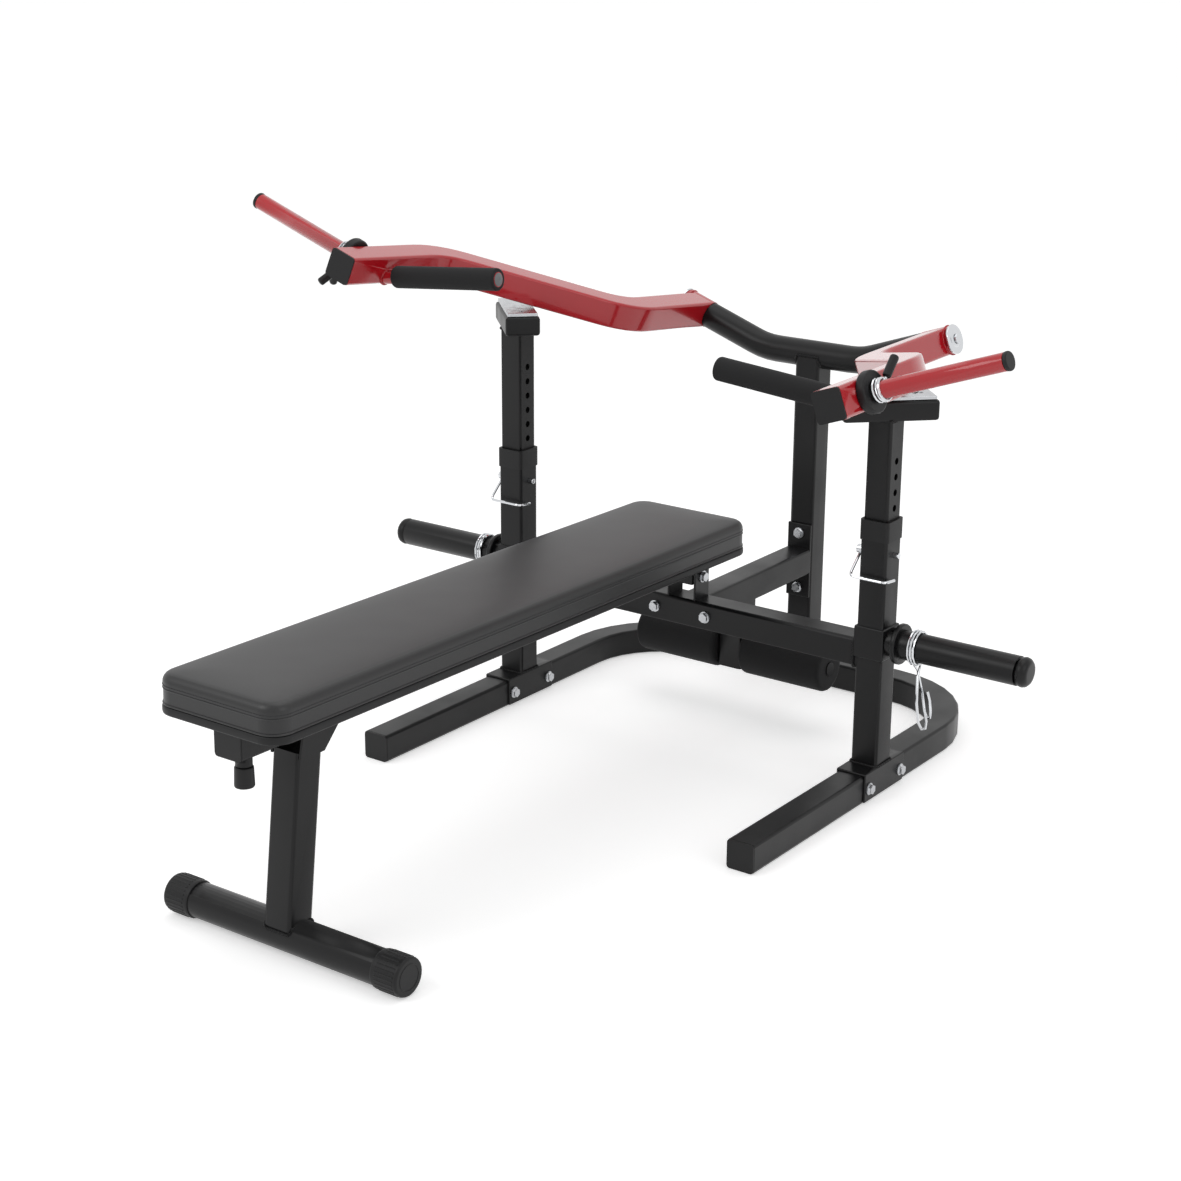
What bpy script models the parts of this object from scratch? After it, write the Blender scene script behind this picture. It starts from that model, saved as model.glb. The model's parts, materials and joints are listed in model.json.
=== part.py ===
"""Olympic bench press with converging lever arms, in metres, Z up, feet on Z = 0.

X runs across the machine and -Y points from the uprights to the foot of the bench.
"""

from math import ceil, cos, pi, radians, sin, tan

import bmesh
import bpy
from mathutils import Matrix, Vector

MM = 0.001
GAP = 0.3 * MM  # between pieces that rest on each other
SLIDE_GAP = 0.4 * MM  # round a piece that moves inside another
UP = Vector((0, 0, 1))

# Square tube used all over the frame
TUBE = 50 * MM
TUBE_CORNER = 5 * MM
WALL = 2.5 * MM
PLATE = 4 * MM

# Floor frame and uprights
POST_X = 380 * MM
BASE_FRONT_Y = -412 * MM
REAR_Y = 408 * MM
BASE_BEND = 180 * MM
SADDLE_LENGTH = 133 * MM
SADDLE_BOLT_SPREAD = 106 * MM
POST_TOP_Z = 449 * MM
COLLAR_HEIGHT = 35 * MM
COLLAR_WIDTH = 54 * MM

# Telescoping rests
INNER_TUBE = 44.4 * MM
HOLE_PITCH = 26.6 * MM
HOLE_DIAMETER = 12 * MM
HOLES_ABOVE_PIN = 6
HOLES_BELOW_PIN = 2
LEFT_NOTCHES_UP = 2  # the left rest is pinned two holes higher than the right
PIN_Z = 424 * MM
PIN_DIAMETER = 10 * MM
REST_RISE = 229 * MM  # from the pinned hole of the right rest to the underside of its beam
REST_BEAM = Vector((160, 62, 34)) * MM
REST_PLATE = Vector((150, 54, 6)) * MM
REST_TURN = radians(45)
REST_SCREW_SPREAD = 110 * MM

# Crossbeam, storage pegs, rear brace
CROSSBEAM_Z = 249.5 * MM
CROSSBEAM_BOLT_SPREAD = 106 * MM
SOCKET_HEIGHT = 56 * MM
SOCKET_Z = 271 * MM
STORAGE_PEG_DIAMETER = 50 * MM
STORAGE_PEG_REACH = 284 * MM
STORAGE_DISC_DIAMETER = 70 * MM
BRACE_Z = 244 * MM
FLANGE_BOLT_SPREAD = 108 * MM
HANGER_Y = 166 * MM
ROLLER_Z = 129 * MM
ROLLER_DIAMETER = 86 * MM
ROLLER_REACH = 200 * MM
ROLLER_BAR = 25 * MM

# Yoke and lever arms
YOKE_Z = 638 * MM
YOKE_BEND_X = 103 * MM
YOKE_BEND = 150 * MM
AXIS_TILT = radians(19.3)
ARM_ALONG_AXIS = 162 * MM  # from the yoke's bend to the middle of the arm's tube
HUB_RADIUS = 26 * MM
AXLE_DIAMETER = 30 * MM
ARM_FIRST_RUN = 258 * MM
ARM_OUTWARD = 248 * MM
ARM_SECOND_RUN = 272 * MM
ARM_LENGTH = 796 * MM
ARM_BEND = 140 * MM
WEIGHT_PEG_ALONG = 724 * MM
WEIGHT_PEG_DIAMETER = 28 * MM
WEIGHT_PEG_LENGTH = 232 * MM
STOP_DISC = Vector((66, 66, 15)) * MM
GRIP_ALONG = 694 * MM
GRIP_TURN = radians(24.3)  # against the arm's roll, so the grips point in and slightly up
GRIP_DIAMETER = 38 * MM
GRIP_BAR = 25 * MM
GRIP_LENGTH = 214 * MM
GRIP_STUB = 22 * MM
ARM_CLIP_GRIP = 38 * MM
ARM_CLIP_TURNS = {"left": radians(10), "right": radians(101)}  # from legs straight down

# Bench
BENCH_Z = 409.4 * MM  # seam of the pad above the crossbeam
BENCH_TILT = radians(0.77)
PAD_FRONT = -1161 * MM
PAD_REAR = 14 * MM
PAD_WIDTH = 232 * MM
PAD_TOP = 24 * MM
PAD_BOTTOM = -24.5 * MM
PAD_CORNER = 32 * MM
BOARD_THICK = 13 * MM
RAIL_FRONT = -1137 * MM
RAIL_REAR = 28 * MM
BENCH_BOLT_Z = 314 * MM
KNOB_Y = -1106 * MM
KNOB_DIAMETER = 30 * MM

# Front leg
LEG_TOP = Vector((0, -1000, 310)) * MM
LEG_LEAN = radians(7.2)
FOOT_Y = -1033 * MM
FOOT_DIAMETER = 55 * MM
FOOT_CAP_DIAMETER = 60 * MM
FOOT_REACH = 230 * MM
FOOT_CAP_LENGTH = 50 * MM

SIDES = (("left", -1), ("right", 1))


def clear_scene():
    for obj in list(bpy.data.objects):
        bpy.data.objects.remove(obj, do_unlink=True)


def collection(name, hidden=False):
    made = bpy.data.collections.new(name)
    bpy.context.scene.collection.children.link(made)
    made.hide_render = hidden
    return made


def material(name, colour, roughness, metallic=0.0):
    made = bpy.data.materials.new(name)
    made.use_nodes = True
    shader = made.node_tree.nodes["Principled BSDF"]
    shader.inputs["Base Color"].default_value = (*colour, 1)
    shader.inputs["Roughness"].default_value = roughness
    shader.inputs["Metallic"].default_value = metallic
    return made


clear_scene()
parts = collection("bench_press")
cutters = collection("cutters", hidden=True)

frame_black = material("frame_black", (0.02, 0.02, 0.021), 0.42)
arm_red = material("arm_red", (0.42, 0.012, 0.022), 0.3)
zinc = material("zinc", (0.62, 0.62, 0.62), 0.3, 1.0)
chrome = material("chrome", (0.78, 0.78, 0.78), 0.12, 1.0)
black_plastic = material("black_plastic", (0.018, 0.018, 0.018), 0.5)
black_foam = material("black_foam", (0.014, 0.014, 0.014), 0.85)
black_vinyl = material("black_vinyl", (0.016, 0.016, 0.017), 0.45)


def pivot(name, location, rotation=None, parent=None):
    """An empty that carries the pieces of one moving group."""
    made = bpy.data.objects.new(name, None)
    made.empty_display_size = 0.05
    parts.objects.link(made)
    made.parent = parent or root
    made.matrix_local = Matrix.Translation(location) @ (rotation or Matrix()).to_4x4()
    return made


def finish(name, mesh, surface, parent):
    made = bpy.data.objects.new(name, mesh)
    helper = surface is None
    (cutters if helper else parts).objects.link(made)
    made.parent = parent or root
    if helper:
        made.hide_render = True
        made.display_type = "WIRE"
    else:
        mesh.materials.append(surface)
    for face in mesh.polygons:
        face.use_smooth = True
    mesh.set_sharp_from_angle(angle=radians(40))
    return made


def add_bevel(obj, width, segments=2):
    bevel = obj.modifiers.new("rounding", "BEVEL")
    bevel.width = width
    bevel.segments = segments
    bevel.limit_method = "ANGLE"
    bevel.angle_limit = radians(40)
    return obj


def to_mesh(name, bm):
    mesh = bpy.data.meshes.new(name)
    bm.to_mesh(mesh)
    bm.free()
    return mesh


def block(name, low, high, surface=None, parent=None, rounding=0.0, corner=0.0, along=2, steps=2, turn=None,
          at=None):
    """A box between two corners, then turned about the origin and moved to `at`.

    `corner` rounds only the edges that run along axis `along`; `rounding` rounds the sharp edges left.
    """
    low, high = Vector(low), Vector(high)
    bm = bmesh.new()
    bmesh.ops.create_cube(bm, size=1)
    bmesh.ops.scale(bm, vec=high - low, verts=bm.verts)
    bmesh.ops.translate(bm, vec=(low + high) / 2, verts=bm.verts)
    if corner:
        edges = [e for e in bm.edges if abs(e.verts[0].co[along] - e.verts[1].co[along]) > MM]
        bmesh.ops.bevel(bm, geom=edges, offset=corner, segments=steps, profile=0.5, affect="EDGES")
    made = finish(name, to_mesh(name, bm), surface, parent)
    made.matrix_local = Matrix.Translation(at or (0, 0, 0)) @ (turn or Matrix()).to_4x4()
    return add_bevel(made, rounding) if rounding else made


def rod(name, start, end, radius, surface=None, parent=None, sides=20, rounding=0.0, tip=None):
    """A round bar between two points; `tip` is the radius at its end."""
    start, end = Vector(start), Vector(end)
    bm = bmesh.new()
    bmesh.ops.create_cone(
        bm,
        cap_ends=True,
        segments=sides,
        radius1=radius,
        radius2=radius if tip is None else tip,
        depth=(end - start).length,
    )
    turn = (end - start).to_track_quat("Z", "Y").to_matrix().to_4x4()
    bmesh.ops.transform(bm, matrix=Matrix.Translation((start + end) / 2) @ turn, verts=bm.verts)
    made = finish(name, to_mesh(name, bm), surface, parent)
    return add_bevel(made, rounding) if rounding else made


def route(corners, bend, step=radians(10)):
    """Points along straight runs whose corners are arcs of radius `bend`."""
    corners = [Vector(c) for c in corners]
    points = [corners[0]]
    for before, corner, after in zip(corners, corners[1:], corners[2:]):
        back, ahead = (before - corner).normalized(), (after - corner).normalized()
        turned = pi - back.angle(ahead)
        centre = corner + (back + ahead).normalized() * bend / cos(turned / 2)
        start = corner + back * bend * tan(turned / 2) - centre
        axis = back.cross(ahead).normalized()
        count = max(2, ceil(turned / step))
        for k in range(count + 1):
            points.append(centre + Matrix.Rotation(-turned * k / count, 3, axis) @ start)
    return points + [corners[-1]]


def curve_object(name, points, cyclic=False, flat=False):
    data = bpy.data.curves.new(name, "CURVE")
    data.dimensions = "2D" if flat else "3D"
    spline = data.splines.new("POLY")
    spline.points.add(len(points) - 1)
    for place, point in zip(spline.points, points):
        place.co = (*Vector(point).to_3d(), 1)
    spline.use_cyclic_u = cyclic
    made = bpy.data.objects.new(f"{name}_curve", data)
    cutters.objects.link(made)
    return made


def meshed(name, curve, surface, parent):
    """The curve as a closed mesh object; the curve is removed."""
    depsgraph = bpy.context.evaluated_depsgraph_get()
    mesh = bpy.data.meshes.new_from_object(curve.evaluated_get(depsgraph))
    mesh.name = name
    bpy.data.objects.remove(curve)
    bm = bmesh.new()
    bm.from_mesh(mesh)
    bmesh.ops.remove_doubles(bm, verts=bm.verts, dist=1e-6)
    bmesh.ops.recalc_face_normals(bm, faces=bm.faces)
    bm.to_mesh(mesh)
    bm.free()
    return finish(name, mesh, surface, parent)


def square_section(name, size, corner):
    """A closed curve of a rounded square, for a tube's section."""
    points = []
    for quarter, (x, y) in enumerate(((1, 1), (-1, 1), (-1, -1), (1, -1))):
        for step in range(3):
            angle = (quarter + step / 2) * pi / 2
            reach = size / 2 - corner
            points.append((x * reach + corner * cos(angle), y * reach + corner * sin(angle)))
    return curve_object(name, [Vector(p) for p in points], cyclic=True, flat=True)


def square_tube(name, points, size, corner, surface=None, parent=None):
    """A square bar bent along points that lie in one level plane."""
    path = curve_object(name, points)
    path.data.twist_mode = "Z_UP"
    path.data.bevel_mode = "OBJECT"
    path.data.bevel_object = square_section(f"{name}_section", size, corner)
    path.data.use_fill_caps = True
    return meshed(name, path, surface, parent)


def wire(name, points, radius, resolution, surface=None, parent=None):
    """A round bar along the points."""
    path = curve_object(name, points)
    path.data.bevel_depth = radius
    path.data.bevel_resolution = resolution
    path.data.use_fill_caps = True
    return meshed(name, path, surface, parent)


def flat_plate(name, corners, thickness, surface=None, parent=None):
    """A plate whose outline, in its own XY plane, is the given corners."""
    outline = curve_object(name, corners, cyclic=True, flat=True)
    outline.data.fill_mode = "BOTH"
    outline.data.extrude = thickness / 2
    return meshed(name, outline, surface, parent)


def combine(target, others, operation):
    for other in others:
        change = target.modifiers.new(other.name, "BOOLEAN")
        change.operation = operation
        change.solver = "EXACT"
        change.object = other
    return target


def join(target, *others):
    return combine(target, others, "UNION")


def cut(target, *others):
    return combine(target, others, "DIFFERENCE")


def hex_bolt(name, face, towards, surface=zinc, parent=None, length=0.0, nut=True, size=10 * MM):
    """A bolt whose washer rests at `face`, with its shank going `length` along `towards`."""
    face, towards = Vector(face), Vector(towards).normalized()
    start = face - towards * GAP
    washer = rod(name, start - towards * 2 * MM, start, size * 1.05, surface, parent, 16)
    head = rod(f"{name}_head", start - towards * 8 * MM, start - towards * 1.5 * MM, size * 0.85,
               parent=parent, sides=6)
    shank = rod(f"{name}_shank", start - towards * MM,
                face + towards * (length + (9 * MM if nut else 0)), size / 2, parent=parent, sides=12)
    join(washer, head, shank)
    if nut:
        far = face + towards * (length + GAP)
        join(washer, rod(f"{name}_nut", far, far + towards * 7 * MM, size * 0.85, parent=parent, sides=6))
    return washer


root = bpy.data.objects.new("bench_press_root", None)
parts.objects.link(root)

half = TUBE / 2

# ---- Floor frame -------------------------------------------------------------------------
plug_flange = 3 * MM
base_end_y = BASE_FRONT_Y + plug_flange + GAP
rail_end = Vector((POST_X, base_end_y, half))
rear_corner = Vector((POST_X, REAR_Y, half))
mirrored = Vector((-1, 1, 1))
base_path = route([rail_end * mirrored, rear_corner * mirrored, rear_corner, rail_end], BASE_BEND,
                  radians(12))
base = square_tube("base_frame", base_path, TUBE, TUBE_CORNER, frame_black)
over = Vector((0, -0.01, 0))
bore_path = [base_path[0] + over, *base_path[1:-1], base_path[-1] + over]
cut(base, square_tube("base_bore", bore_path, TUBE - 2 * WALL, TUBE_CORNER - WALL))

plug_bore = TUBE - 2 * WALL - 2 * GAP


def tube_plug(name, parent, at, surface=black_plastic):
    """A plastic end cap for a tube that opens towards -Y: a flange outside and a tongue inside."""
    x, y, z = at
    flange_half = half - GAP
    tongue_half = plug_bore / 2
    flange = block(name, (x - flange_half, y - plug_flange, z - flange_half),
                   (x + flange_half, y, z + flange_half),
                   surface, parent, corner=TUBE_CORNER, along=1)
    tongue = block(f"{name}_tongue", (x - tongue_half, y - MM, z - tongue_half),
                   (x + tongue_half, y + 18 * MM, z + tongue_half), parent=parent,
                   corner=TUBE_CORNER - WALL, along=1)
    return join(flange, tongue)


def hollow_post(name, middle, low_z, high_z, width, bore, corner, surface, parent=None):
    """An upright square tube, open at both ends."""
    reach, inside = Vector((width, width, 0)) / 2, Vector((bore, bore, 0)) / 2
    post = block(name, middle - reach + UP * low_z, middle + reach + UP * high_z, surface, parent,
                 corner=corner)
    over = UP * 10 * MM
    hole = block(f"{name}_bore", middle - inside + UP * low_z - over, middle + inside + UP * high_z + over,
                 parent=parent, corner=max(corner - (width - bore) / 2, MM))
    return cut(post, hole)


bolt_hole = 10 * MM + 2 * SLIDE_GAP
saddle_thick = 3 * MM
saddle_half = half + GAP + saddle_thick
saddle_top = TUBE + GAP + saddle_thick
inner_bore = INNER_TUBE + 2 * SLIDE_GAP

for side, sign in SIDES:
    x = sign * POST_X
    foot = Vector((x, 0, 0))
    tube_plug(f"base_plug_{side}", None, (x, base_end_y - GAP, half))

    # Upright: an outer tube standing on a saddle that straddles the rail
    upright = hollow_post(f"upright_{side}", foot, saddle_top - MM, POST_TOP_Z, TUBE, inner_bore,
                          TUBE_CORNER, frame_black)
    saddle = block(f"saddle_{side}", (x - saddle_half, -SADDLE_LENGTH / 2, 2 * MM),
                   (x + saddle_half, SADDLE_LENGTH / 2, saddle_top), rounding=2 * MM)
    channel = block(f"saddle_channel_{side}", (x - half - GAP, -SADDLE_LENGTH, -TUBE),
                    (x + half + GAP, SADDLE_LENGTH, TUBE + GAP))
    cut(saddle, channel)
    join(upright, saddle)
    cut(upright, rod(f"pin_hole_{side}", (x - TUBE, 0, PIN_Z), (x + TUBE, 0, PIN_Z),
                     PIN_DIAMETER / 2 + SLIDE_GAP, sides=12))

    # Bolts through the saddle and the rail
    for place, y in (("front", -SADDLE_BOLT_SPREAD / 2), ("rear", SADDLE_BOLT_SPREAD / 2)):
        hole = rod(f"saddle_hole_{side}_{place}", (x - TUBE, y, half), (x + TUBE, y, half), bolt_hole / 2,
                   sides=12)
        cut(upright, hole)
        cut(base, hole)
        hex_bolt(f"saddle_bolt_{side}_{place}", (x + saddle_half, y, half), (-1, 0, 0),
                 length=2 * saddle_half)

    # Guide collar on top of the outer tube
    hollow_post(f"guide_collar_{side}", foot, POST_TOP_Z + GAP, POST_TOP_Z + COLLAR_HEIGHT, COLLAR_WIDTH,
                inner_bore, 6 * MM, black_plastic)

# ---- Crossbeam with its sockets and the bench's bracket ----------------------------------
socket_half = half + GAP + 3 * MM
crossbeam = block("crossbeam", (-POST_X, -half, CROSSBEAM_Z - half), (POST_X, half, CROSSBEAM_Z + half),
                  frame_black, corner=TUBE_CORNER, along=0)
for side, sign in SIDES:
    x = sign * POST_X
    join(crossbeam, block(f"socket_{side}", (x - socket_half, -socket_half, SOCKET_Z - SOCKET_HEIGHT / 2),
                          (x + socket_half, socket_half, SOCKET_Z + SOCKET_HEIGHT / 2), rounding=3 * MM))
    cut(crossbeam, block(f"socket_bore_{side}", (x - half - GAP, -half - GAP, 0),
                         (x + half + GAP, half + GAP, 0.5),
                         corner=TUBE_CORNER))
bracket_inside = half + 0.5 * MM
bracket_top = BENCH_BOLT_Z + 26 * MM
for side, sign in SIDES:
    inner_x, outer_x = sign * bracket_inside, sign * (bracket_inside + PLATE)
    plate = block(f"bench_bracket_{side}", (min(inner_x, outer_x), -22 * MM, CROSSBEAM_Z + half - 2 * MM),
                  (max(inner_x, outer_x), 22 * MM, bracket_top), rounding=1.5 * MM)
    join(crossbeam, plate)
bench_bolt_y = 0.0
bench_bolt_hole = rod("bench_bolt_hole", (-0.1, bench_bolt_y, BENCH_BOLT_Z),
                      (0.1, bench_bolt_y, BENCH_BOLT_Z),
                      bolt_hole / 2, sides=12)
cut(crossbeam, bench_bolt_hole)
hex_bolt("bench_rear_bolt", (bracket_inside + PLATE, bench_bolt_y, BENCH_BOLT_Z), (-1, 0, 0),
         length=2 * (bracket_inside + PLATE))

# ---- Rear brace with the roller hanger ---------------------------------------------------
flange_thick = 5 * MM
brace_front_y = half + GAP
brace_rear_y = REAR_Y - half - GAP
brace = block("rear_brace", (-half, brace_front_y + flange_thick / 2, BRACE_Z - half),
              (half, brace_rear_y - flange_thick / 2, BRACE_Z + half), frame_black, corner=TUBE_CORNER,
              along=1)
join(
    brace,
    block("brace_front_flange", (-76 * MM, brace_front_y, BRACE_Z - 23 * MM),
          (76 * MM, brace_front_y + flange_thick, BRACE_Z + 27 * MM), rounding=1.5 * MM),
    block("brace_rear_flange", (-half, brace_rear_y - flange_thick,
                                BRACE_Z - FLANGE_BOLT_SPREAD / 2 - 18 * MM),
          (half, brace_rear_y, BRACE_Z + FLANGE_BOLT_SPREAD / 2 + 18 * MM), rounding=1.5 * MM),
    block("roller_hanger", (-half, HANGER_Y - half, ROLLER_Z - 33 * MM),
          (half, HANGER_Y + half, BRACE_Z), corner=TUBE_CORNER),
)
for side, sign in SIDES:
    x = sign * CROSSBEAM_BOLT_SPREAD / 2
    hole = rod(f"crossbeam_hole_{side}", (x, -0.1, CROSSBEAM_Z), (x, 0.1, CROSSBEAM_Z), bolt_hole / 2,
               sides=12)
    cut(crossbeam, hole)
    cut(brace, hole)
    hex_bolt(f"crossbeam_bolt_{side}", (x, -half, CROSSBEAM_Z), (0, 1, 0),
             length=TUBE + GAP + flange_thick)

bar_hole = rod("roller_bar_hole", (-0.1, HANGER_Y, ROLLER_Z), (0.1, HANGER_Y, ROLLER_Z),
               ROLLER_BAR / 2 + GAP)
cut(brace, bar_hole)
rod("roller_bar", (-ROLLER_REACH, HANGER_Y, ROLLER_Z), (ROLLER_REACH, HANGER_Y, ROLLER_Z), ROLLER_BAR / 2,
    frame_black)
for side, sign in SIDES:
    turn = pivot(f"foam_roller_{side}_axis", (sign * (half + ROLLER_REACH) / 2, HANGER_Y, ROLLER_Z))
    reach = (ROLLER_REACH - half) / 2 - 2 * MM
    roller = rod(f"foam_roller_{side}", (-reach, 0, 0), (reach, 0, 0), ROLLER_DIAMETER / 2, black_foam,
                 turn, sides=28, rounding=7 * MM)
    cut(roller, rod(f"roller_bore_{side}", (-0.2, 0, 0), (0.2, 0, 0), ROLLER_BAR / 2 + SLIDE_GAP,
                    parent=turn))

# ---- Rear post and yoke ------------------------------------------------------------------
post = block("rear_post", (-half, REAR_Y - half, TUBE + GAP), (half, REAR_Y + half, YOKE_Z), frame_black,
             corner=TUBE_CORNER)
cut(post, rod("post_cope", (-0.1, REAR_Y, YOKE_Z), (0.1, REAR_Y, YOKE_Z), half + GAP, sides=32))
for place, sign in (("upper", 1), ("lower", -1)):
    z = BRACE_Z + sign * FLANGE_BOLT_SPREAD / 2
    hole = rod(f"flange_hole_{place}", (0, 0.3, z), (0, 0.5, z), bolt_hole / 2, sides=12)
    cut(brace, hole)
    cut(post, hole)
    hex_bolt(f"flange_bolt_{place}", (0, brace_rear_y - flange_thick, z), (0, 1, 0),
             length=flange_thick + GAP + TUBE)

hub_inner = -half
hub_outer = half + 6 * MM


def on_axis(sign, along):
    """A point of the arm's axis, measured outward from the yoke's bend."""
    return Vector((sign * (YOKE_BEND_X + along * cos(AXIS_TILT)), REAR_Y, YOKE_Z + along * sin(AXIS_TILT)))


yoke_end = ARM_ALONG_AXIS + hub_inner - 0.6 * MM
yoke_path = route([on_axis(-1, yoke_end), on_axis(-1, 0), on_axis(1, 0), on_axis(1, yoke_end)], YOKE_BEND,
                  radians(7))
yoke = wire("yoke", yoke_path, half, 10, frame_black)
axle_end = ARM_ALONG_AXIS + hub_outer + GAP
for side, sign in SIDES:
    join(yoke, rod(f"axle_{side}", on_axis(sign, yoke_end - 20 * MM), on_axis(sign, axle_end),
                   AXLE_DIAMETER / 2))
    cut(yoke, rod(f"axle_tap_{side}", on_axis(sign, axle_end - 30 * MM), on_axis(sign, axle_end + 10 * MM),
                  5 * MM + GAP, sides=12))

# ---- Bench -------------------------------------------------------------------------------
bench = pivot("bench_frame", (0, 0, BENCH_Z), Matrix.Rotation(-BENCH_TILT, 3, "X"))


board_top = PAD_BOTTOM - GAP
board_bottom = board_top - BOARD_THICK
cushion = block("pad_cushion", (-PAD_WIDTH / 2, PAD_FRONT, PAD_BOTTOM), (PAD_WIDTH / 2, PAD_REAR, PAD_TOP),
                black_vinyl, bench, corner=PAD_CORNER, steps=6)
add_bevel(cushion, 9 * MM, 3)
lip = 2 * MM
board = block("pad_board", (-PAD_WIDTH / 2 - lip, PAD_FRONT - lip, board_bottom),
              (PAD_WIDTH / 2 + lip, PAD_REAR + lip, board_top), black_plastic, bench,
              corner=PAD_CORNER + lip, steps=6)
add_bevel(board, 3 * MM)

rail_top = board_bottom - GAP
rail_middle = rail_top - half
rail_bottom = rail_top - TUBE
rail_mouth_y = RAIL_FRONT + plug_flange + GAP
rail = block("bench_rail", (-half, rail_mouth_y, rail_bottom), (half, RAIL_REAR, rail_top), frame_black,
             bench, corner=TUBE_CORNER, along=1)
tongue_room = block("rail_mouth", (-half + WALL, rail_mouth_y - 0.1, rail_bottom + WALL),
                    (half - WALL, rail_mouth_y + 22 * MM, rail_top - WALL), parent=bench,
                    corner=TUBE_CORNER - WALL, along=1)
cut(rail, tongue_room)
tube_plug("bench_rail_plug", bench, (0, rail_mouth_y - GAP, rail_middle))

# Lug under the rail, held between the crossbeam's bracket plates
bolt_local_z = BENCH_BOLT_Z - BENCH_Z
lug = block("rail_lug", (-half + 5 * MM, bench_bolt_y - 16 * MM, bolt_local_z - 15 * MM),
            (half - 5 * MM, bench_bolt_y + 16 * MM, rail_bottom + 5 * MM), parent=bench, rounding=2 * MM)
join(rail, lug)
cut(rail, bench_bolt_hole)

# Pull knob in its bush under the front of the rail
bush_length = 18 * MM
knob_bore = 5 * MM + SLIDE_GAP
join(rail, rod("knob_bush", (0, KNOB_Y, rail_bottom + 2 * MM), (0, KNOB_Y, rail_bottom - bush_length),
               12.5 * MM, parent=bench, rounding=1 * MM))
cut(rail, rod("knob_bore", (0, KNOB_Y, rail_bottom - 0.1), (0, KNOB_Y, rail_bottom + 30 * MM), knob_bore,
              parent=bench, sides=20))
knob_axis = pivot("pull_knob_axis", (0, KNOB_Y, rail_bottom - bush_length), parent=bench)
knob = rod("pull_knob", (0, 0, -GAP), (0, 0, -32 * MM), KNOB_DIAMETER / 2 - MM, black_plastic, knob_axis,
           rounding=3 * MM, tip=KNOB_DIAMETER / 2)
join(knob, rod("knob_stem", (0, 0, -5 * MM), (0, 0, bush_length + 20 * MM), 5 * MM, parent=knob_axis,
               sides=20))

# ---- Front leg and foot ------------------------------------------------------------------
foot_z = FOOT_CAP_DIAMETER / 2
leg = rod("front_leg", (-FOOT_REACH + 8 * MM, FOOT_Y, foot_z), (FOOT_REACH - 8 * MM, FOOT_Y, foot_z),
          FOOT_DIAMETER / 2, frame_black, sides=28)
leg_length = (LEG_TOP.z - foot_z) / cos(LEG_LEAN)
leg_tube = block("leg_tube", (-half, -half, -leg_length + 14 * MM), (half, half, 0), corner=TUBE_CORNER,
                 turn=Matrix.Rotation(-LEG_LEAN, 3, "X"), at=LEG_TOP)
rail_under_leg = BENCH_Z + rail_bottom - LEG_TOP.y * sin(BENCH_TILT)
web = block("leg_web", (-half - PLATE, LEG_TOP.y - half + 2 * MM, LEG_TOP.z - 5 * MM),
            (half + PLATE, LEG_TOP.y + half - 2 * MM, LEG_TOP.z + 3 * MM), rounding=1.2 * MM)
join(leg, leg_tube, web)


def cheek(side, sign):
    """A side plate of the leg's bracket, flared towards the rear where it holds the rail."""
    low, high = LEG_TOP.z - 6 * MM, rail_under_leg + 34 * MM
    front, rear = LEG_TOP.y - half, LEG_TOP.y + half
    corners = ((front, low), (rear, low), (rear + 62 * MM, high), (front + 14 * MM, high))
    plate = flat_plate(f"leg_cheek_{side}", [Vector(corner) for corner in corners], PLATE)
    upright = Matrix(((0, 0, 1), (1, 0, 0), (0, 1, 0))).to_4x4()
    plate.matrix_local = Matrix.Translation((sign * (half + GAP + PLATE / 2), 0, 0)) @ upright
    return plate


join(leg, *[cheek(side, sign) for side, sign in SIDES])
leg_bolt_at = Vector((0, LEG_TOP.y + half, rail_under_leg + 17 * MM))
leg_bolt_hole = rod("leg_bolt_hole", leg_bolt_at - Vector((0.1, 0, 0)), leg_bolt_at + Vector((0.1, 0, 0)),
                    bolt_hole / 2, sides=12)
cut(leg, leg_bolt_hole)
cut(rail, leg_bolt_hole)
hex_bolt("leg_bolt", leg_bolt_at + Vector((half + GAP + PLATE, 0, 0)), (-1, 0, 0), surface=frame_black,
         length=2 * (half + GAP + PLATE))

for side, sign in SIDES:
    cap = rod(f"foot_cap_{side}", (sign * (FOOT_REACH - FOOT_CAP_LENGTH), FOOT_Y, foot_z),
              (sign * FOOT_REACH, FOOT_Y, foot_z), FOOT_CAP_DIAMETER / 2, black_plastic, sides=28,
              rounding=4 * MM)
    cut(cap, rod(f"foot_cap_bore_{side}", (sign * (FOOT_REACH - 0.2), FOOT_Y, foot_z),
                 (sign * (FOOT_REACH - 8 * MM + GAP), FOOT_Y, foot_z), FOOT_DIAMETER / 2 + GAP, sides=28))

# ---- Storage pegs and their spring clips -------------------------------------------------
peg_radius = STORAGE_PEG_DIAMETER / 2
clip_wire = 2.2 * MM


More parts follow.
